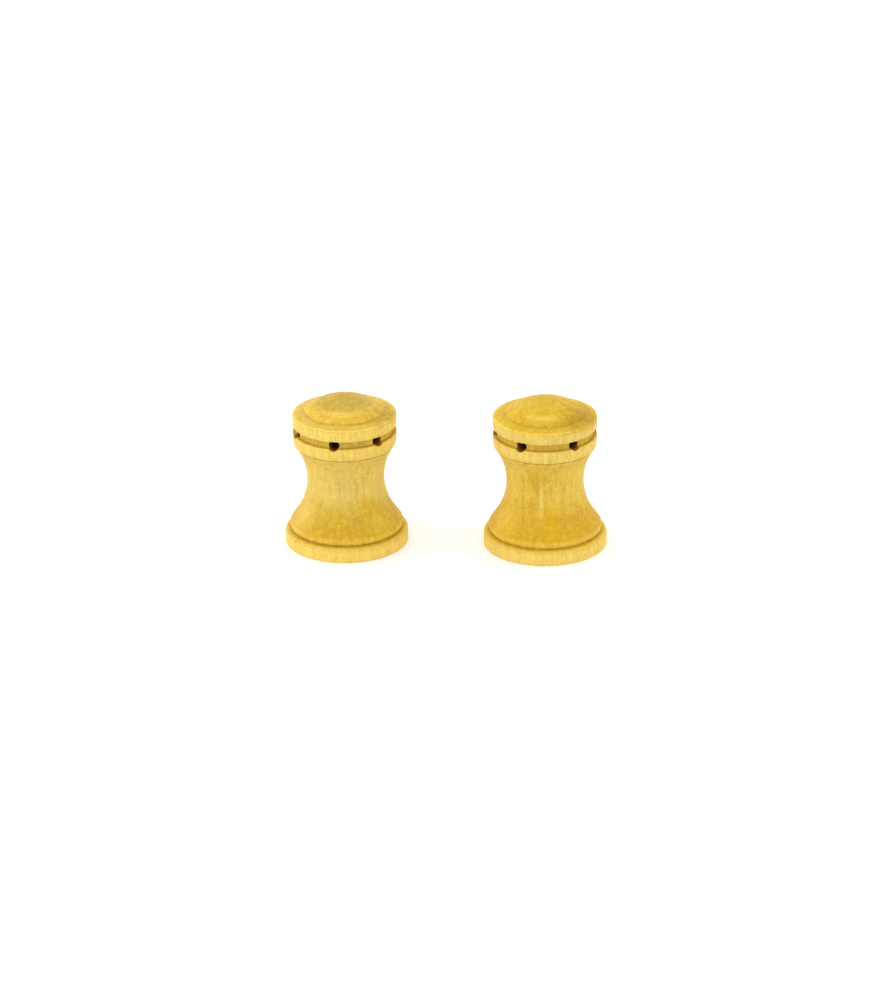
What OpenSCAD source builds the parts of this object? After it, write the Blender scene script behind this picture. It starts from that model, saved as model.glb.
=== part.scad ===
// Salt and pepper shakers: two turned wooden bodies, each with a push-on cap
// and a soft stopper in its base. Millimetres, +Z up, the table at z = 0,
// the origin midway between the two shakers.

/* [Pair] */
// distance between the two shakers' axes
spacing = 74.4; // [60:0.2:120]

/* [Foot] */
// radius of the foot
foot_r = 23; // [22.8:0.1:24]
// height of the foot's flange
foot_h = 5.2; // [5.0:0.1:5.6]
// radius of the rounding on the flange's top edge
foot_edge = 1.1; // [0.8:0.1:1.1]
// inner radius of the ring each shaker stands on
ring_r = 19.3; // [17:0.1:20]

/* [Body] */
// radius of the waist at its narrowest
waist_r = 14.4; // [14:0.1:15.5]
// height of the waist's narrowest point
waist_z = 25.3; // [24.8:0.1:25.8]
// radius of the hollow curve that shapes the waist
waist_arc = 24; // [23.5:0.1:24.5]
// radius of the rounded shoulder above the foot
bead_arc = 3; // [2.8:0.1:3.2]
// largest radius of that rounded shoulder
bead_r = 21.2; // [21:0.1:21.4]
// height of the fine line under the collar
line_z = 38.7; // [38.5:0.1:38.8]
// radius of the collar and the cap
collar_r = 19.3; // [19:0.1:20]
// height of the collar's lip
lip_z = 44.1; // [43.9:0.1:44.5]
// radius of the floor of the groove under the cap
groove_r = 17.8; // [17:0.1:18.2]
// height of the shoulder the cap rests on
shoulder_z = 46.9; // [46.7:0.1:47]
// radius of the bore that holds the salt or pepper
bore_r = 10.5; // [10:0.1:11]

/* [Spigot] */
// radius of the spigot the cap pushes over
spigot_r = 12.5; // [12.3:0.1:13]
// height of the spigot above the shoulder
spigot_h = 4.3; // [3:0.1:4.3]

/* [Pouring holes] */
// diameter of each pouring hole
hole_d = 4; // [2:0.1:4.2]
// height of the holes' centres
hole_z = 45.1; // [45:0.1:45.2]
// number of holes in the salt shaker
salt_holes = 6; // [3:1:8]
// turn of the first salt hole from the front
salt_turn = -7.7; // [-60:0.1:60]
// angle from the first salt hole to the second; the others share the rest
salt_gap = 54.3; // [45:0.1:70]
// number of holes in the pepper shaker
pepper_holes = 6; // [3:1:8]
// turn of the first pepper hole from the front
pepper_turn = -26.3; // [-60:0.1:60]
// angle from the first pepper hole to the second; the others share the rest
pepper_gap = 64.8; // [45:0.1:70]

/* [Cap] */
// height of the cap's rim
rim_h = 4; // [3.6:0.1:4.4]
// radius of the dome where it rises from the ring
dome_r = 15.1; // [14.6:0.1:16]
// height of the dome's edge above the rim
ring_rise = 1.1; // [0.8:0.1:1.4]
// height of the whole shaker
top_z = 57.5; // [57:0.1:58]
// gap round the spigot
socket_gap = 0.05; // [0.02:0.01:0.1]
// depth of the cap's socket
socket_h = 4.5; // [4.4:0.1:5]

/* [Stopper] */
// radius of the recess in the base
recess_r = 14; // [13.6:0.1:15]
// height of the recess
recess_h = 5; // [4.8:0.1:5.6]
// radius of the stopper's flange
flange_r = 13; // [12:0.1:13.4]
// thickness of the flange
flange_t = 1.6; // [1.2:0.1:1.8]
// radius of the stopper's stem
stem_r = 9.8; // [9:0.1:9.9]
// length of the stem
stem_h = 9; // [8:0.1:10]
// gap between the stem's ribs and the bore
rib_gap = 0.05; // [0.02:0.01:0.1]
// width of each rib
rib_w = 1.2; // [0.8:0.1:1.4]
// radius of the half-moon pull tab
tab_r = 7; // [5:0.1:8]
// thickness of the pull tab
tab_t = 2.4; // [1.8:0.1:3]

/* [Hidden] */
$fn = $preview ? 96 : 180;

salt_x = -spacing / 2;
pepper_x = spacing / 2;
pale_wood = [0.86, 0.68, 0.36];
cap_wood = [0.80, 0.62, 0.30];
soft_white = [0.86, 0.85, 0.80];

waist_x = waist_r + waist_arc;
bead_x = bead_r - bead_arc;
arc_overlap = 0.05;
arc_apart = waist_arc + bead_arc - arc_overlap;
bead_z = waist_z - sqrt(pow(arc_apart, 2) - pow(waist_x - bead_x, 2));
meet_r = bead_x + (waist_x - bead_x) * bead_arc / arc_apart;
meet_z = bead_z + (waist_z - bead_z) * bead_arc / arc_apart;
line_r = waist_x - sqrt(pow(waist_arc, 2) - pow(line_z - waist_z, 2));
spigot_top = shoulder_z + spigot_h;
rim_z = shoulder_z + rim_h;
dome_z = rim_z + ring_rise;
dome_h = top_z - dome_z;
dome_arc = (dome_r * dome_r + dome_h * dome_h) / (2 * dome_h);
flange_z = recess_h - flange_t;
tab_h = flange_z - 0.4;
foot_edge_arc = [
  for (a = [0 : 15 : 90])
    [foot_r - foot_edge * (1 - cos(a)), foot_h - foot_edge * (1 - sin(a))]
];

// turn of hole i: the first two by their own angles, the others evenly between
function hole_turn(i, holes, turn, gap) =
  i == 0 ? turn : turn + gap + (i - 1) * (360 - gap) / (holes - 1);

// the foot, the shoulder above it and the hollow waist, as one half section
module waist_section() {
  difference() {
    union() {
      translate([bead_x, bead_z])
        circle(r = bead_arc);
      polygon(concat(
        [
          [bore_r, recess_h], [recess_r, recess_h], [recess_r, 0.8], [ring_r, 0],
          [foot_r - 0.4, 0], [foot_r, 0.4]
        ],
        foot_edge_arc,
        [
          [bead_x, foot_h], [bead_x, bead_z], [meet_r, meet_z], [collar_r + 6, meet_z + 6],
          [collar_r + 6, line_z], [bore_r, line_z]
        ]
      ));
    }
    translate([waist_x, waist_z])
      circle(r = waist_arc);
  }
}

// the collar, the groove under the cap and the spigot, as one half section
// that starts inside the waist and leaves the fine line between them
module collar_section() {
  polygon([
    [bore_r, line_z - 2], [line_r - 2.2, line_z - 2], [line_r - 0.3, line_z + 0.3],
    [line_r + 0.45, line_z + 0.6], [collar_r, line_z + 2.3], [collar_r, lip_z - 0.2],
    [collar_r - 0.2, lip_z], [groove_r, lip_z], [groove_r, shoulder_z],
    [spigot_r, shoulder_z], [spigot_r, spigot_top - 0.4], [spigot_r - 0.4, spigot_top],
    [bore_r, spigot_top]
  ]);
}

module shaker_body(holes, turn, gap) {
  difference() {
    rotate_extrude()
      union() {
        waist_section();
        collar_section();
      }
    for (i = [0 : holes - 1])
      rotate([0, 0, hole_turn(i, holes, turn, gap) - 90])
        translate([bore_r - 4, 0, hole_z])
          rotate([0, 90, 0])
            cylinder(d = hole_d, h = collar_r - bore_r + 8);
  }
}

module shaker_cap() {
  difference() {
    rotate_extrude()
      union() {
        polygon([
          [0, shoulder_z], [collar_r - 0.2, shoulder_z], [collar_r, shoulder_z + 0.2],
          [collar_r, rim_z - 0.2], [collar_r - 0.2, rim_z], [dome_r - 0.6, dome_z],
          [0, dome_z]
        ]);
        intersection() {
          translate([0, top_z - dome_arc])
            circle(r = dome_arc);
          translate([0, rim_z - 0.5])
            square([collar_r, top_z]);
        }
      }
    translate([0, 0, shoulder_z - 1])
      cylinder(r = spigot_r + socket_gap, h = socket_h + 1);
  }
}

module shaker_stopper() {
  rotate_extrude()
    polygon([
      [0, flange_z], [flange_r - 0.4, flange_z], [flange_r, flange_z + 0.4],
      [flange_r, recess_h], [stem_r, recess_h],
      [stem_r, recess_h + 1.6], [bore_r - rib_gap, recess_h + 2],
      [bore_r - rib_gap, recess_h + 2 + rib_w], [stem_r, recess_h + 2.8 + rib_w],
      [stem_r, recess_h + 5.2], [bore_r - rib_gap, recess_h + 5.6],
      [bore_r - rib_gap, recess_h + 5.6 + rib_w], [stem_r - 0.4, recess_h + stem_h],
      [0, recess_h + stem_h]
    ]);
  translate([0, tab_t / 2, flange_z + 0.2])
    rotate([90, 0, 0])
      linear_extrude(tab_t)
        intersection() {
          scale([1, (tab_h + 0.2) / tab_r])
            circle(r = tab_r);
          translate([-tab_r, -tab_h - 0.2])
            square([2 * tab_r, tab_h + 0.2]);
        }
}

module salt_body() {
  color(pale_wood)
    translate([salt_x, 0, 0])
      shaker_body(salt_holes, salt_turn, salt_gap);
}

module salt_cap() {
  color(cap_wood)
    translate([salt_x, 0, 0])
      shaker_cap();
}

module salt_stopper() {
  color(soft_white)
    translate([salt_x, 0, 0])
      shaker_stopper();
}

module pepper_body() {
  color(pale_wood)
    translate([pepper_x, 0, 0])
      shaker_body(pepper_holes, pepper_turn, pepper_gap);
}

module pepper_cap() {
  color(cap_wood)
    translate([pepper_x, 0, 0])
      shaker_cap();
}

module pepper_stopper() {
  color(soft_white)
    translate([pepper_x, 0, 0])
      shaker_stopper();
}

salt_body();
salt_cap();
salt_stopper();
pepper_body();
pepper_cap();
pepper_stopper();
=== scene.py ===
# A pair of turned wooden salt and pepper shakers. Each one is a waisted body with a foot
# and a collar, a domed cap pushed on its spigot, and a soft stopper in its base.
import math

import bpy
from mathutils import Matrix, Vector


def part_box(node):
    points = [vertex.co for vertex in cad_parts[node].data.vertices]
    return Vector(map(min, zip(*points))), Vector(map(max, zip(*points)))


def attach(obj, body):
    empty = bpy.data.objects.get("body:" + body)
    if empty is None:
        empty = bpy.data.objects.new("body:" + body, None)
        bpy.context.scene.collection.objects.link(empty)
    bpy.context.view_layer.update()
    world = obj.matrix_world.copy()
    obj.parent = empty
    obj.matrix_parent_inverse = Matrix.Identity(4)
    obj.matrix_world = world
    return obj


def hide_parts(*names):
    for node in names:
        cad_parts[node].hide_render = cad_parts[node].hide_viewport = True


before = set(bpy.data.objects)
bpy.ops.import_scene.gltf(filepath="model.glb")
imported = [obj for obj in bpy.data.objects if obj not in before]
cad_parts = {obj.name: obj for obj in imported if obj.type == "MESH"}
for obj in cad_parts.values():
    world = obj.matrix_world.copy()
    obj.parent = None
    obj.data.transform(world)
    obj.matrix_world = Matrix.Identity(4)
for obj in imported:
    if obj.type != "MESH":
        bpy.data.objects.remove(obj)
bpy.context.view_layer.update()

MM = 0.001

# One shaker in millimetres: radii from its own axis, heights from the table.
FOOT_R = 23.0
FOOT_H = 5.2
FOOT_EDGE = 1.2
STANDING_R = 19.3
STANDING_RISE = 0.9
RECESS_R = 14.0
RECESS_H = 5.0
WAIST_R = 14.4
WAIST_Z = 25.3
WAIST_ARC = 24.0
BEAD_R = 21.15
BEAD_Z = 7.3
BEAD_ARC = 2.3
NOOK_Z = 5.8
LINE_Z = 38.7
LINE_CUT = 0.22
COLLAR_R = 19.3
COLLAR_Z = 41.1
LIP_Z = 44.1
GROOVE_R = 17.8
SHOULDER_Z = 46.9
SPIGOT_R = 12.5
SPIGOT_TOP = 51.2
BORE_R = 10.5
HOLE_R = 2.0
HOLE_Z = 45.1
RIM_Z = 50.9
RING_R = 16.6
RING_Z = 51.75
COVE_R = 15.3
COVE_Z = 51.85
DOME_R = 14.9
DOME_ARC = 24.0
TOP_Z = 57.5
SOCKET_R = 12.55
SOCKET_TOP = 51.4
FLANGE_R = 13.0
FLANGE_T = 1.6
STEM_R = 9.8
STEM_TOP = 14.0
RIB_R = 10.45
TAB_R = 7.0
TAB_T = 2.4

SPIN_STEPS = 192

# the largest distance from the axis that a wood is tinted for, just past the foot
WIDEST = 24.0
# a mark is worked out as far as this many of its own half-sizes
MARK_SPAN = 6.0


def axis_x(node):
    """The x of a shaker's turning axis, in metres."""
    low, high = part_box(node)
    return (low[0] + high[0]) / 2


# ---- outlines of the turned pieces ----


def arc(r, z, radius, start, end, steps):
    """Points on an arc about (r, z), with angles in degrees from the outward direction."""
    angles = [math.radians(start + (end - start) * i / steps) for i in range(steps + 1)]
    return [(r + radius * math.cos(a), z + radius * math.sin(a)) for a in angles]


def eased(before, corner, after, size, steps=4):
    """A corner rounded over a short length on both sides."""
    before, corner, after = Vector(before), Vector(corner), Vector(after)
    start = corner + (before - corner).normalized() * size
    end = corner + (after - corner).normalized() * size
    curve = []
    for i in range(steps + 1):
        t = i / steps
        point = start.lerp(corner, t).lerp(corner.lerp(end, t), t)
        curve.append((point.x, point.y))
    return curve


def outline(points):
    """The chain of points. A point with a third value is a corner eased over that length."""
    chain = []
    for i, point in enumerate(points):
        if len(point) == 3:
            chain += eased(points[i - 1][:2], point[:2], points[i + 1][:2], point[2])
        else:
            chain.append(point)
    return chain


def divided(chain, longest):
    """The chain with its long straight stretches divided into equal short ones."""
    fine = [chain[0]]
    for (r0, z0), (r1, z1) in zip(chain, chain[1:]):
        count = max(1, math.ceil(math.hypot(r1 - r0, z1 - z0) / longest))
        fine += [(r0 + (r1 - r0) * k / count, z0 + (z1 - z0) * k / count) for k in range(1, count + 1)]
    return fine


def tool_marks(chain, low, high, depth, pitch):
    """The faint ridges that the gouge leaves on the outside between two heights."""
    wide_pitch = 2.3 * pitch
    marked = []
    for r, z in chain:
        along = r + z
        ridge = math.sin(along * math.tau / pitch) + 0.6 * math.sin(along * math.tau / wide_pitch + 1.0)
        is_outside = low < z < high and r > WAIST_R - 1
        marked.append((r + depth * ridge if is_outside else r, z))
    return marked


def body_outline():
    """Half section of a body, from the bore's foot out and up to the spigot and back down."""
    waist_x = WAIST_R + WAIST_ARC
    bead_x = BEAD_R - BEAD_ARC
    apart = math.hypot(waist_x - bead_x, WAIST_Z - BEAD_Z)
    lean = math.degrees(math.atan2(WAIST_Z - BEAD_Z, waist_x - bead_x))
    flare = lean - math.degrees(math.acos((WAIST_ARC + BEAD_ARC) / apart))
    dip = math.degrees(math.asin((BEAD_Z - NOOK_Z) / BEAD_ARC))
    bead = arc(bead_x, BEAD_Z, BEAD_ARC, -dip, flare, 16)
    rise = math.degrees(math.asin((LINE_Z - WAIST_Z) / WAIST_ARC))
    waist = arc(waist_x, WAIST_Z, WAIST_ARC, 180 + flare, 180 - rise, 72)
    foot = outline([
        (BORE_R, RECESS_H), (RECESS_R, RECESS_H), (RECESS_R, STANDING_RISE, 0.3), (STANDING_R, 0.0, 0.6),
        (FOOT_R, 0.0, 0.5), (FOOT_R, FOOT_H, FOOT_EDGE), bead[0],
    ])
    line_r = waist[-1][0]
    top = outline([
        (line_r, LINE_Z), (line_r - LINE_CUT, LINE_Z + LINE_CUT), (line_r + 0.45, LINE_Z + 0.55, 0.15),
        (COLLAR_R, COLLAR_Z, 0.8), (COLLAR_R, LIP_Z, 0.3), (GROOVE_R, LIP_Z, 0.12), (GROOVE_R, SHOULDER_Z),
        (SPIGOT_R, SHOULDER_Z), (SPIGOT_R, SPIGOT_TOP, 0.4), (BORE_R, SPIGOT_TOP, 0.2), (BORE_R, RECESS_H),
    ])
    chain = divided(foot + bead[1:] + waist + top[1:], 0.6)
    return tool_marks(chain, FOOT_H + 1, LINE_Z - 0.3, 0.012, 0.9)


def cap_outline():
    """Half section of a cap, from the socket's ceiling round the rim and over the dome."""
    lean = math.degrees(math.asin(DOME_R / DOME_ARC))
    dome = arc(0, TOP_Z - DOME_ARC, DOME_ARC, 90 - lean, 90, 40)
    rim = outline([
        (0.0, SOCKET_TOP), (SOCKET_R, SOCKET_TOP, 0.3), (SOCKET_R, SHOULDER_Z, 0.4),
        (COLLAR_R, SHOULDER_Z, 0.25), (COLLAR_R, RIM_Z, 0.22), (RING_R, RING_Z, 0.5), (COVE_R, COVE_Z, 0.2),
        dome[0],
    ])
    return divided(rim + dome[1:], 0.5)


def stopper_outline():
    """Half section of a stopper: a flange in the recess and a ribbed stem in the bore."""
    flange_z = RECESS_H - FLANGE_T
    first_rib_z = RECESS_H + 2.0
    rib_pitch = 3.6
    points = [
        (0.0, flange_z), (FLANGE_R, flange_z, 0.5), (FLANGE_R, RECESS_H, 0.2), (STEM_R, RECESS_H, 0.25),
    ]
    for rib in range(2):
        z = first_rib_z + rib_pitch * rib
        points += [(STEM_R, z - 0.5), (RIB_R, z, 0.4), (RIB_R, z + 1.2, 0.5), (STEM_R, z + 1.7)]
    hollow_z = RECESS_H + 2.0
    points += [
        (STEM_R, STEM_TOP, 0.5), (STEM_R - 1.8, STEM_TOP, 0.5), (STEM_R - 2.4, hollow_z, 0.8),
        (0.0, hollow_z),
    ]
    return divided(outline(points), 0.7)


# ---- modelling ----


def turn(name, chain, x, material):
    """Draws a half section as a chain of edges and spins it round the shaker's axis."""
    bpy.ops.object.select_all(action="DESELECT")
    bpy.ops.mesh.primitive_plane_add(size=MM, location=(0, 0, 0))
    piece = bpy.context.object
    piece.name = name
    bpy.ops.object.mode_set(mode="EDIT")
    bpy.ops.mesh.select_all(action="SELECT")
    bpy.ops.mesh.merge(type="CENTER")
    start = chain[0]
    bpy.ops.transform.translate(value=(x + start[0] * MM, 0, start[1] * MM))
    last = start
    for point in chain[1:]:
        step = ((point[0] - last[0]) * MM, 0, (point[1] - last[1]) * MM)
        bpy.ops.mesh.extrude_vertices_move(TRANSFORM_OT_translate={"value": step})
        last = point
    bpy.ops.mesh.select_all(action="SELECT")
    bpy.ops.mesh.spin(steps=SPIN_STEPS, angle=math.tau, center=(x, 0, 0), axis=(0, 0, 1))
    bpy.ops.mesh.select_all(action="SELECT")
    bpy.ops.mesh.remove_doubles(threshold=0.002 * MM)
    bpy.ops.mesh.normals_make_consistent(inside=False)
    bpy.ops.object.mode_set(mode="OBJECT")
    piece.data.materials.append(material)
    return piece


def drill(piece, x, turns, lining):
    """Drills the pouring holes from the groove into the bore, each at its own turn, and lines them."""
    spare = 4  # how far the drill reaches past the wood at each end
    inner = (BORE_R - spare) * MM
    outer = (COLLAR_R + spare) * MM
    bpy.ops.object.select_all(action="DESELECT")
    drills = []
    for angle in map(math.radians, turns):
        outward = Vector((math.sin(angle), -math.cos(angle), 0))
        place = outward * (inner + outer) / 2 + Vector((x, 0, HOLE_Z * MM))
        bpy.ops.mesh.primitive_cylinder_add(
            vertices=48, radius=HOLE_R * MM, depth=outer - inner, location=place,
            rotation=outward.to_track_quat("Z", "Y").to_euler(),
        )
        drills.append(bpy.context.object)
    for tool in drills:
        tool.select_set(True)
    bpy.context.view_layer.objects.active = drills[0]
    bpy.ops.object.join()
    bpy.ops.object.transform_apply(location=True, rotation=True, scale=True)
    tool = bpy.context.object
    tool.data.materials.append(lining)
    cut = piece.modifiers.new("pouring holes", "BOOLEAN")
    cut.operation = "DIFFERENCE"
    cut.solver = "EXACT"
    cut.material_mode = "TRANSFER"
    cut.object = tool
    bpy.context.view_layer.objects.active = piece
    bpy.ops.object.modifier_apply(modifier=cut.name)
    bpy.data.objects.remove(tool, do_unlink=True)


def finish_piece(piece):
    """Puts the piece's origin at the frame's and smooths its round faces."""
    bpy.ops.object.select_all(action="DESELECT")
    piece.select_set(True)
    bpy.context.view_layer.objects.active = piece
    bpy.ops.object.transform_apply(location=True, rotation=True, scale=True)
    bpy.ops.object.shade_smooth_by_angle(angle=math.radians(32))


def pull_tab(x, material):
    """The half-moon tab under the stopper's flange, with softened edges."""
    flange_z = RECESS_H - FLANGE_T
    sunk = 0.2  # how far the tab's root reaches into the flange
    height = flange_z - 0.4 + sunk
    root = (x, 0, (flange_z + sunk) * MM)
    bpy.ops.object.select_all(action="DESELECT")
    bpy.ops.mesh.primitive_cylinder_add(
        vertices=64, radius=TAB_R * MM, depth=TAB_T * MM,
        location=(x, 0, flange_z * MM), rotation=(math.pi / 2, 0, 0),
    )
    tab = bpy.context.object
    bpy.ops.object.transform_apply(location=True, rotation=True, scale=True)
    bpy.ops.object.mode_set(mode="EDIT")
    bpy.ops.mesh.select_all(action="SELECT")
    bpy.ops.mesh.bisect(plane_co=root, plane_no=(0, 0, 1), clear_outer=True, use_fill=True)
    bpy.ops.mesh.select_all(action="SELECT")
    bpy.ops.transform.resize(value=(1, 1, height / TAB_R), center_override=root)
    bpy.ops.mesh.remove_doubles(threshold=0.002 * MM)
    bpy.ops.object.mode_set(mode="OBJECT")
    soften = tab.modifiers.new("soft edges", "BEVEL")
    soften.width = 0.45 * MM
    soften.segments = 4
    soften.limit_method = "ANGLE"
    soften.angle_limit = math.radians(50)
    bpy.ops.object.modifier_apply(modifier=soften.name)
    tab.data.materials.append(material)
    return tab


# ---- materials ----


def srgb(red, green, blue):
    """A colour given in 0-255 screen values, as the linear values that shaders take."""
    def linear(value):
        value /= 255
        return value / 12.92 if value <= 0.04045 else ((value + 0.055) / 1.055) ** 2.4

    return (linear(red), linear(green), linear(blue), 1.0)


class Nodes:
    """Adds and joins a material's nodes."""

    def __init__(self, name):
        self.material = bpy.data.materials.new(name)
        self.material.use_nodes = True
        self.tree = self.material.node_tree
        self.tree.nodes.clear()

    def add(self, kind, **settings):
        node = self.tree.nodes.new(kind)
        for key, value in settings.items():
            setattr(node, key, value)
        return node

    def link(self, source, target):
        self.tree.links.new(source, target)

    def mapping(self, source, place, scale):
        node = self.add("ShaderNodeMapping")
        node.inputs["Location"].default_value = place
        node.inputs["Scale"].default_value = scale
        self.link(source, node.inputs["Vector"])
        return node.outputs["Vector"]

    def noise(self, vector, scale, detail=2.0, roughness=0.5, distortion=0.0):
        node = self.add("ShaderNodeTexNoise")
        node.inputs["Scale"].default_value = scale
        node.inputs["Detail"].default_value = detail
        node.inputs["Roughness"].default_value = roughness
        node.inputs["Distortion"].default_value = distortion
        self.link(vector, node.inputs["Vector"])
        return node.outputs["Fac"]

    def ramp(self, source, stops):
        """A ramp of grey or colour stops, each a place and a value."""
        node = self.add("ShaderNodeValToRGB")
        elements = node.color_ramp.elements
        while len(elements) < len(stops):
            elements.new(0.5)
        for element, (place, value) in zip(elements, stops):
            element.position = place
            element.color = value if isinstance(value, tuple) else (value, value, value, 1.0)
        self.link(source, node.inputs["Fac"])
        return node.outputs["Color"]

    def mix(self, kind, factor, first, second):
        """Mixes two colours by a blend kind. Each of factor, first and second is a socket or a value."""
        node = self.add("ShaderNodeMix", data_type="RGBA", blend_type=kind)
        for value, place in ((factor, 0), (first, 6), (second, 7)):
            if isinstance(value, bpy.types.NodeSocket):
                self.link(value, node.inputs[place])
            else:
                node.inputs[place].default_value = value
        return node.outputs[2]

    def length(self, vector):
        node = self.add("ShaderNodeVectorMath", operation="LENGTH")
        self.link(vector, node.inputs[0])
        return node.outputs["Value"]

    def combine(self, first, second):
        node = self.add("ShaderNodeCombineXYZ")
        self.link(first, node.inputs["X"])
        self.link(second, node.inputs["Y"])
        return node.outputs[0]

    def math(self, kind, first, second=0.0):
        node = self.add("ShaderNodeMath", operation=kind)
        for value, place in ((first, 0), (second, 1)):
            if isinstance(value, bpy.types.NodeSocket):
                self.link(value, node.inputs[place])
            else:
                node.inputs[place].default_value = value
        return node.outputs[0]


def turned_wood(name, x, side, end, warm, pith, seed, zones, marks_and_painted_light, lathe):
    """Pale close-grained wood turned along its grain: fibres run up the piece, growth rings
    stand round a pith beside the axis, and end grain shows darker where a face looks up. side is
    its colour along the grain, end across the grain, and warm that of its patches.
    zones tints the wood by its distance from the axis in millimetres, which also paints highlights on
    the rim and foot edges and shade in the cove; marks are patches and bands of another colour, some
    the wood's own and many painted shade and painted light; and lathe is how strongly the gouge's
    fine rings show."""
    wood = Nodes(name)
    coords = wood.add("ShaderNodeTexCoord")
    place = wood.mapping(coords.outputs["Object"], (-x / MM, 0, 0), (1 / MM, 1 / MM, 1 / MM))

    # distance from the axis, turn round it from the front in degrees, and height
    parts = wood.add("ShaderNodeSeparateXYZ")
    wood.link(place, parts.inputs[0])
    height = parts.outputs["Z"]
    from_axis = wood.length(wood.mapping(place, (0, 0, 0), (1, 1, 0)))
    behind = wood.math("MULTIPLY", parts.outputs["Y"], -1.0)
    around = wood.math("DEGREES", wood.math("ARCTAN2", parts.outputs["X"], behind))

    # growth rings about the pith, a little wavy
    ring_place = wood.mapping(place, (-pith[0], -pith[1], seed), (1, 1, 0.06))
    rings = wood.add("ShaderNodeTexWave", wave_type="RINGS", rings_direction="Z", wave_profile="SAW")
    rings.inputs["Scale"].default_value = 0.11
    rings.inputs["Distortion"].default_value = 2.2
    rings.inputs["Detail"].default_value = 2.0
    rings.inputs["Detail Scale"].default_value = 0.5
    wood.link(ring_place, rings.inputs["Vector"])
    ring_tone = wood.ramp(rings.outputs["Fac"], [(0.0, 0.5), (0.75, 0.42), (0.93, 0.30), (1.0, 0.5)])

    # long streaks up the grain, short pores that show as specks on end grain, and soft patches
    streaks = wood.noise(wood.mapping(place, (seed, 0, 0), (1, 1, 0.05)), 0.6, detail=4.0, roughness=0.6)
    pores = wood.noise(wood.mapping(place, (0, seed * 3, 0), (1, 1, 0.14)), 3.0, detail=2.0, roughness=0.55)
    mottle = wood.noise(wood.mapping(place, (0, 0, seed * 7), (1, 1, 0.7)), 0.14, detail=3.0, roughness=0.6)
    fleck = wood.noise(wood.mapping(place, (0, seed * 5, 0), (1, 1, 0.6)), 0.8, detail=3.0, roughness=0.65)
    specks = wood.noise(wood.mapping(place, (0, 0, seed * 2), (1, 1, 0.8)), 1.7, detail=3.0, roughness=0.7)

    # how far a face looks up, where the fibres are cut across
    facing = wood.add("ShaderNodeSeparateXYZ")
    wood.link(coords.outputs["Normal"], facing.inputs[0])
    cut_across = wood.ramp(facing.outputs["Z"], [(0.12, 0.0), (0.6, 1.0)])

    colour = wood.mix("MIX", cut_across, side, end)
    patches = wood.mix("MULTIPLY", 1.0, wood.ramp(mottle, [(0.45, 0.0), (0.70, 0.7)]), cut_across)
    colour = wood.mix("MIX", patches, colour, warm)

    # tinted by distance from the axis, apart from the undersides: the wood's own tone, and also painted
    # light and shade, lighter along the cap's rim edge and the foot's top edge and darker in the cove round
    # the dome
    tone = wood.ramp(wood.math("DIVIDE", from_axis, WIDEST), [(r / WIDEST, tinted) for r, tinted in zones])
    not_under = wood.math("GREATER_THAN", facing.outputs["Z"], -0.7)
    colour = wood.mix("MULTIPLY", not_under, colour, tone)

    # marks, with edges that follow the streaks: some are the wood's own patches and specks, many are
    # painted shade and painted light
    for mark in marks_and_painted_light:
        turn_deg, z, half_turn, half_height = mark["place"]
        offset = wood.mapping(
            wood.combine(around, height), (-turn_deg / half_turn, -z / half_height, 0),
            (1 / half_turn, 1 / half_height, 0),
        )
        reach = wood.length(offset)
        ragged = wood.math("ADD", reach, wood.math("MULTIPLY", streaks, mark["ragged"]))
        core = mark["ragged"] / 2 + 0.2
        stops = [(core / MARK_SPAN, mark["depth"]), ((core + 0.8) / MARK_SPAN, 0.0)]
        edge = wood.ramp(wood.math("DIVIDE", ragged, MARK_SPAN), stops)
        colour = wood.mix("MIX", edge, colour, mark["colour"])

    # each grain lightens and darkens the colour by its own strength
    for grain, low, high, strength in (
        (ring_tone, 0.2, 0.6, 0.4 * lathe),
        (streaks, 0.3, 0.7, 0.30),
        (fleck, 0.3, 0.7, 0.16),
        (pores, 0.35, 0.65, 0.20),
        (specks, 0.3, 0.7, 0.30),
    ):
        shade = wood.ramp(grain, [(low, 0.28), (high, 0.72)])
        colour = wood.mix("OVERLAY", strength, colour, shade)

    # fine rings round the axis, left by the gouge
    gouge = wood.noise(wood.combine(from_axis, height), 1.5, detail=3.0, roughness=0.6)
    colour = wood.mix("OVERLAY", lathe, colour, wood.ramp(gouge, [(0.3, 0.36), (0.7, 0.64)]))

    shader = wood.add("ShaderNodeBsdfPrincipled")
    wood.link(colour, shader.inputs["Base Color"])
    wood.link(wood.ramp(pores, [(0.3, 0.68), (0.7, 0.50)]), shader.inputs["Roughness"])
    shader.inputs["Specular IOR Level"].default_value = 0.12
    relief = wood.math("ADD", wood.math("MULTIPLY", gouge, 2 * lathe), wood.math("MULTIPLY", pores, 0.5))
    bump = wood.add("ShaderNodeBump")
    bump.inputs["Strength"].default_value = 0.35
    bump.inputs["Distance"].default_value = 0.06 * MM
    wood.link(relief, bump.inputs["Height"])
    wood.link(bump.outputs["Normal"], shader.inputs["Normal"])
    out = wood.add("ShaderNodeOutputMaterial")
    wood.link(shader.outputs["BSDF"], out.inputs["Surface"])
    return wood.material


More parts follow.
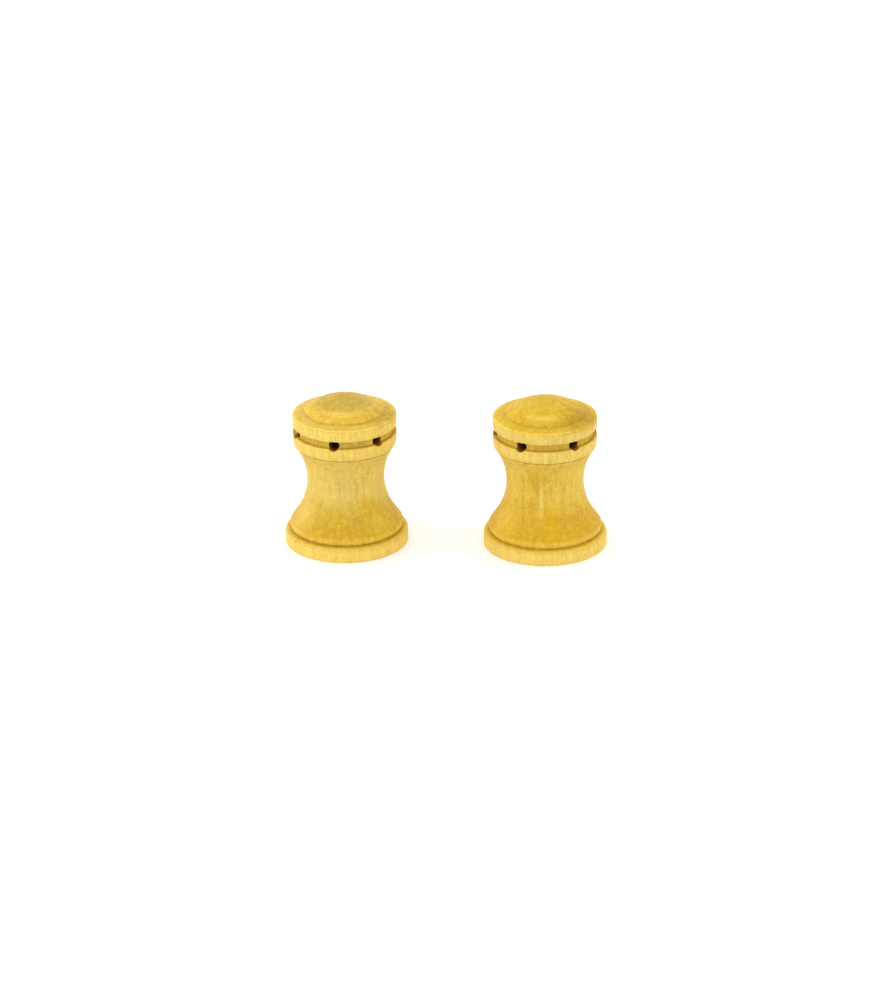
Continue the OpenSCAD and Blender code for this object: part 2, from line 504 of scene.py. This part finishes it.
def shaded_drill_wall(name, x):
    """The wall that a drill leaves, with painted shade: dark deep inside, fading to the wood's own tone at
    the lip.
    """
    wall = Nodes(name)
    coords = wall.add("ShaderNodeTexCoord")
    place = wall.mapping(coords.outputs["Object"], (-x / MM, 0, 0), (1 / MM, 1 / MM, 1 / MM))
    from_axis = wall.length(wall.mapping(place, (0, 0, 0), (1, 1, 0)))
    # painted shade, darkest deep in the hole and lightest at the collar's face
    stops = [(15.5, srgb(98, 56, 16)), (GROOVE_R, srgb(142, 96, 28)), (COLLAR_R, srgb(186, 148, 54))]
    depth = wall.ramp(wall.math("DIVIDE", from_axis, WIDEST), [(r / WIDEST, tone) for r, tone in stops])
    scored = wall.ramp(wall.noise(place, 2.5, detail=3.0), [(0.3, 0.42), (0.7, 0.58)])
    shader = wall.add("ShaderNodeBsdfPrincipled")
    wall.link(wall.mix("OVERLAY", 0.6, depth, scored), shader.inputs["Base Color"])
    shader.inputs["Roughness"].default_value = 0.8
    shader.inputs["Specular IOR Level"].default_value = 0.1
    out = wall.add("ShaderNodeOutputMaterial")
    wall.link(shader.outputs["BSDF"], out.inputs["Surface"])
    return wall.material


def soft_silicone():
    """Translucent white silicone with a faint cloudiness and a moulded matt skin."""
    soft = Nodes("silicone")
    coords = soft.add("ShaderNodeTexCoord")
    place = soft.mapping(coords.outputs["Object"], (0, 0, 0), (1 / MM, 1 / MM, 1 / MM))
    cloud = soft.noise(place, 0.25, detail=3.0)
    skin = soft.noise(place, 5.0, detail=2.0)
    colour = soft.ramp(cloud, [(0.3, srgb(222, 221, 210)), (0.7, srgb(238, 237, 229))])
    shader = soft.add("ShaderNodeBsdfPrincipled")
    soft.link(colour, shader.inputs["Base Color"])
    soft.link(soft.ramp(skin, [(0.3, 0.42), (0.7, 0.54)]), shader.inputs["Roughness"])
    shader.inputs["Subsurface Weight"].default_value = 0.25
    shader.inputs["Subsurface Scale"].default_value = 2 * MM
    bump = soft.add("ShaderNodeBump")
    bump.inputs["Strength"].default_value = 0.2
    bump.inputs["Distance"].default_value = 0.03 * MM
    soft.link(skin, bump.inputs["Height"])
    soft.link(bump.outputs["Normal"], shader.inputs["Normal"])
    out = soft.add("ShaderNodeOutputMaterial")
    soft.link(shader.outputs["BSDF"], out.inputs["Surface"])
    return soft.material


# ---- the two shakers ----

# a half-turn in degrees that is wide enough for a mark to go all the way round
WHOLE_TURN = 400.0


def tint(red, green, blue):
    """How much a zone multiplies each of the wood's colours."""
    return (red, green, blue, 1.0)


def even(value):
    """A tint that only lightens or darkens."""
    return tint(value, value, value)


# painted highlight: the bright crescent on the front of each dome
PAINTED_HIGHLIGHT = srgb(228, 192, 84)
PALE = srgb(232, 205, 106)
# painted light: the salt's flare lighter on its left, toward the light
STRAW_PAINTED_LIGHT = srgb(220, 190, 92)
# painted light: the pepper's flare lighter on its left, beside the salt
PALE_GOLD_PAINTED_LIGHT = srgb(222, 188, 70)
# painted light: the salt's flare lighter on its right, beside the pepper
GOLD_PAINTED_LIGHT = srgb(216, 180, 66)
DEEP_GOLD = srgb(210, 172, 46)
ORANGE = srgb(206, 164, 20)
# painted shade: a narrow greyish darkening on the front of the salt's waist
ASHEN_SHADE = srgb(204, 182, 104)
# painted shade along the top of the salt's waist, under the collar
OLIVE_SHADE = srgb(196, 168, 78)
# painted shade on the front of the salt's waist, which gets less light than the sides
PALE_OLIVE_SHADE = srgb(196, 168, 82)
# painted shade along the top of the pepper's waist, under the collar
HONEY_SHADE = srgb(196, 163, 62)
# painted shade on the front of the pepper's waist, which gets less light than the sides
DARK_HONEY_SHADE = srgb(194, 157, 44)
AMBER = srgb(196, 156, 40)
# painted shade: in the groove under the cap, in the nook above the foot, and on the salt cap's ring to the
# right
PAINTED_SHADE = srgb(176, 142, 40)
# painted shade: the pepper cap's ring and cove darker on the right, away from the light
PAINTED_DEEP_SHADE = srgb(174, 136, 30)
SPECK = srgb(110, 78, 20)

# holes are their number, the turn of the first and the gap to the second, in degrees. A zone is
# a distance from the axis and its tint; some tints are painted highlights on the rim and foot edges
# and painted shade in the cove. A mark's place is its turn from the front, its height, and half of
# its own turn and height; ragged is how far its edge follows the streaks. Many marks are painted
# shade and painted light.
SHAKERS = {
    "salt": {
        "holes": (6, -7.7, 54.3), "body_pith": (4.0, 9.0), "cap_pith": (-3.0, 2.0), "seed": 1.0,
        "side": srgb(218, 187, 90), "end": srgb(194, 156, 37), "warm": srgb(200, 156, 30),
        "cap_end": srgb(204, 172, 72),
        "body_tone_and_light": [
            (14.2, tint(0.90, 0.91, 0.93)), (16.3, tint(0.92, 0.92, 0.80)), (18.8, even(1.0)),
            # from 21.6 out, painted highlight along the foot's rounded top edge
            (21.2, even(1.0)), (21.6, tint(1.24, 1.40, 4.0)), (22.7, tint(1.34, 1.52, 4.6)),
            (22.88, even(1.07)),
        ],
        "cap_tone_and_light": [
            (0.0, even(0.80)), (9.0, even(0.85)), (10.4, even(0.92)), (13.2, tint(1.10, 1.06, 0.8)),
            # at 15.2 painted shade in the cove round the dome
            (14.5, tint(1.14, 1.08, 0.8)), (15.2, even(0.86)), (15.9, even(1.04)), (18.4, even(1.05)),
            # from 18.8 out, painted highlight along the rim's top edge
            (18.8, even(1.35)), (19.12, tint(1.45, 1.52, 1.8)), (19.22, even(1.0)),
        ],
        # the cap's marks are painted light and shade
        "cap_highlight_and_shade": [
            # painted highlight on the dome's front
            {"place": (0, 54.6, 50.0, 1.0), "ragged": 0.5, "depth": 0.8, "colour": PAINTED_HIGHLIGHT},
            # painted shade on the ring's right side
            {"place": (75, 52.0, 45.0, 2.6), "ragged": 0.5, "depth": 0.7, "colour": PAINTED_SHADE},
        ],
        "marks_and_painted_light": [
            # painted shade in the groove under the cap
            {"place": (0, 45.5, WHOLE_TURN, 1.9), "ragged": 0.3, "depth": 0.6, "colour": PAINTED_SHADE},
            {"place": (-20, 34.6, 1.6, 0.5), "ragged": 0.3, "depth": 0.6, "colour": SPECK},
            {"place": (0, 7.2, WHOLE_TURN, 2.0), "ragged": 0.3, "depth": 0.85, "colour": DEEP_GOLD},
            # painted shade in the nook above the foot
            {"place": (0, 5.9, WHOLE_TURN, 0.9), "ragged": 0.2, "depth": 0.6, "colour": PAINTED_SHADE},
            # painted shade along the top of the waist, under the collar
            {"place": (0, 37.2, WHOLE_TURN, 3.6), "ragged": 0.6, "depth": 0.6, "colour": OLIVE_SHADE},
            # painted shade on the waist's front
            {"place": (6, 31.0, 38.0, 9.0), "ragged": 0.8, "depth": 0.45, "colour": PALE_OLIVE_SHADE},
            # painted light on the flare's right side
            {"place": (48, 12.5, 26.0, 5.0), "ragged": 0.6, "depth": 0.6, "colour": GOLD_PAINTED_LIGHT},
            # painted light on the flare's left side
            {"place": (-62, 14.0, 30.0, 8.0), "ragged": 0.8, "depth": 0.7, "colour": STRAW_PAINTED_LIGHT},
            # painted shade: a narrow grey darkening on the waist's front
            {"place": (5, 29.0, 9.0, 9.0), "ragged": 1.2, "depth": 0.5, "colour": ASHEN_SHADE},
            {"place": (34, 18.5, 18.0, 5.0), "ragged": 0.8, "depth": 0.6, "colour": ORANGE},
            {"place": (-4, 15.0, 13.0, 4.0), "ragged": 1.2, "depth": 0.5, "colour": ORANGE},
        ],
    },
    "pepper": {
        "holes": (6, -26.3, 64.8), "body_pith": (-5.0, 11.0), "cap_pith": (4.0, -3.0), "seed": 4.0,
        "side": srgb(215, 185, 92), "end": srgb(197, 156, 30), "warm": srgb(204, 156, 22),
        "cap_end": srgb(208, 172, 48),
        "body_tone_and_light": [
            (14.2, tint(0.95, 0.92, 0.60)), (16.3, tint(0.94, 0.91, 0.60)), (18.8, even(1.0)),
            # from 21.6 out, painted highlight along the foot's rounded top edge
            (21.2, even(1.0)), (21.6, tint(1.24, 1.40, 4.2)), (22.7, tint(1.34, 1.52, 5.0)),
            (22.88, even(1.09)),
        ],
        "cap_tone_and_light": [
            (0.0, even(0.84)), (4.0, even(0.92)), (10.4, even(0.96)), (13.2, even(0.98)), (14.4, even(0.93)),
            # at 15.3 painted shade in the cove round the dome; from 18.8 out, painted highlight along the
            # rim's top edge
            (15.3, even(0.83)), (16.6, even(0.97)), (18.4, even(1.0)), (18.8, tint(1.25, 1.35, 2.0)),
            (19.12, tint(1.32, 1.48, 3.0)), (19.22, even(0.98)),
        ],
        # the cap's marks are painted light and shade
        "cap_highlight_and_shade": [
            # painted highlight on the dome's front
            {"place": (0, 54.4, 45.0, 0.8), "ragged": 0.5, "depth": 0.8, "colour": PAINTED_HIGHLIGHT},
            # painted shade on the ring's right side
            {"place": (70, 52.6, 62.0, 4.2), "ragged": 0.5, "depth": 0.85, "colour": PAINTED_DEEP_SHADE},
        ],
        "marks_and_painted_light": [
            # painted shade in the groove under the cap
            {"place": (0, 45.5, WHOLE_TURN, 1.9), "ragged": 0.3, "depth": 0.6, "colour": PAINTED_SHADE},
            {"place": (0, 7.2, WHOLE_TURN, 2.0), "ragged": 0.3, "depth": 0.85, "colour": DEEP_GOLD},
            # painted shade in the nook above the foot
            {"place": (0, 5.9, WHOLE_TURN, 0.9), "ragged": 0.2, "depth": 0.5, "colour": PAINTED_SHADE},
            # painted shade along the top of the waist, under the collar
            {"place": (0, 37.2, WHOLE_TURN, 3.6), "ragged": 0.6, "depth": 0.6, "colour": HONEY_SHADE},
            # painted shade on the waist's front
            {"place": (0, 29.0, 44.0, 12.0), "ragged": 0.8, "depth": 0.6, "colour": DARK_HONEY_SHADE},
            # painted light on the flare's left side
            {"place": (-56, 13.0, 30.0, 7.5), "ragged": 0.6, "depth": 0.7, "colour": PALE_GOLD_PAINTED_LIGHT},
            {"place": (-13, 31.0, 20.0, 6.0), "ragged": 1.0, "depth": 0.75, "colour": AMBER},
            {"place": (-20, 20.5, 18.0, 4.6), "ragged": 1.0, "depth": 0.75, "colour": AMBER},
            {"place": (11, 14.5, 16.0, 8.5), "ragged": 1.0, "depth": 0.8, "colour": ORANGE},
            {"place": (-3, 23.0, 3.4, 9.5), "ragged": 1.8, "depth": 0.6, "colour": PALE},
        ],
    },
}


def hole_turns(count, first, gap):
    """The holes' turns from the front in degrees: the others share what the first gap leaves."""
    return [first] + [first + gap + k * (360 - gap) / (count - 1) for k in range(count - 1)]


def make_shaker(which, facts, silicone):
    """One shaker's body, cap and stopper, each on its own body of the frame."""
    x = axis_x(which + "_body")
    body_wood = turned_wood(
        which + "_body_wood", x, facts["side"], facts["end"], facts["warm"], facts["body_pith"],
        facts["seed"], facts["body_tone_and_light"], facts["marks_and_painted_light"], lathe=0.12,
    )
    cap_wood = turned_wood(
        which + "_cap_wood", x, facts["side"], facts["cap_end"], facts["warm"], facts["cap_pith"],
        facts["seed"] + 1.7, facts["cap_tone_and_light"], facts["cap_highlight_and_shade"], lathe=0.3,
    )

    body = turn(which + "_turned_body", body_outline(), x, body_wood)
    drill(body, x, hole_turns(*facts["holes"]), shaded_drill_wall(which + "_shaded_drill_wall", x))
    finish_piece(body)
    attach(body, which + "_shaker")
    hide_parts(which + "_body")

    cap = turn(which + "_turned_cap", cap_outline(), x, cap_wood)
    finish_piece(cap)
    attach(cap, which + "_lid")
    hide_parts(which + "_cap")

    stopper = turn(which + "_silicone_stopper", stopper_outline(), x, silicone)
    tab = pull_tab(x, silicone)
    bpy.ops.object.select_all(action="DESELECT")
    tab.select_set(True)
    stopper.select_set(True)
    bpy.context.view_layer.objects.active = stopper
    bpy.ops.object.join()
    finish_piece(stopper)
    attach(stopper, which + "_plug")
    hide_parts(which + "_stopper")


silicone = soft_silicone()
for which, facts in SHAKERS.items():
    make_shaker(which, facts, silicone)


# ---- floor, light and camera ----


def white_floor():
    """A wide sheet of white paper that glows a little, so that it stays white under the shakers."""
    bpy.ops.object.select_all(action="DESELECT")
    bpy.ops.mesh.primitive_plane_add(size=12, location=(0, 0, 0))
    floor = bpy.context.object
    floor.name = "floor"
    paper = Nodes("white_paper")
    shader = paper.add("ShaderNodeBsdfPrincipled")
    shader.inputs["Base Color"].default_value = (0.9, 0.9, 0.9, 1)
    shader.inputs["Roughness"].default_value = 0.9
    shader.inputs["Emission Color"].default_value = (1, 1, 1, 1)
    shader.inputs["Emission Strength"].default_value = 0.1
    out = paper.add("ShaderNodeOutputMaterial")
    paper.link(shader.outputs["BSDF"], out.inputs["Surface"])
    floor.data.materials.append(paper.material)


def white_tent(level, lean):
    """Soft white light from all round, that grows along the direction of lean."""
    world = bpy.data.worlds.new("white tent")
    bpy.context.scene.world = world
    world.use_nodes = True
    tree = world.node_tree
    tree.nodes.clear()
    coords = tree.nodes.new("ShaderNodeTexCoord")
    along = tree.nodes.new("ShaderNodeVectorMath")
    along.operation = "DOT_PRODUCT"
    along.inputs[1].default_value = lean
    tree.links.new(coords.outputs["Generated"], along.inputs[0])
    strength = tree.nodes.new("ShaderNodeMath")
    strength.inputs[1].default_value = level
    tree.links.new(along.outputs["Value"], strength.inputs[0])
    light = tree.nodes.new("ShaderNodeBackground")
    tree.links.new(strength.outputs[0], light.inputs["Strength"])
    out = tree.nodes.new("ShaderNodeOutputWorld")
    tree.links.new(light.outputs[0], out.inputs["Surface"])


def softbox(name, place, size, power):
    """A square lamp that faces the middle of the shakers."""
    bpy.ops.object.light_add(type="AREA", location=place)
    lamp = bpy.context.object
    lamp.name = name
    lamp.data.size = size
    lamp.data.energy = power
    aim = Vector((0, 0, 0.03)) - Vector(place)
    lamp.rotation_euler = aim.to_track_quat("-Z", "Y").to_euler()


def camera():
    """A long lens from a little above, turned a touch to the left."""
    bpy.ops.object.camera_add(location=(0.0933, -1.3793, 0.6184))
    eye = bpy.context.object
    turn_deg, down_deg, roll_deg = 3.87, 23.54, -0.73
    turned = Matrix.Rotation(math.radians(turn_deg), 4, "Z")
    pitched = Matrix.Rotation(math.radians(90 - down_deg), 4, "X")
    rolled = Matrix.Rotation(math.radians(roll_deg), 4, "Z")
    eye.rotation_euler = (turned @ pitched @ rolled).to_euler()
    eye.data.lens = 145.3
    eye.data.sensor_width = 36
    eye.data.clip_end = 50
    bpy.context.scene.camera = eye


white_floor()
white_tent(level=1.95, lean=(0.02, 0.25, -0.6))
softbox("key", place=(-1.3, -0.2, 0.7), size=0.9, power=4)
camera()
bpy.context.scene.view_settings.view_transform = "Standard"
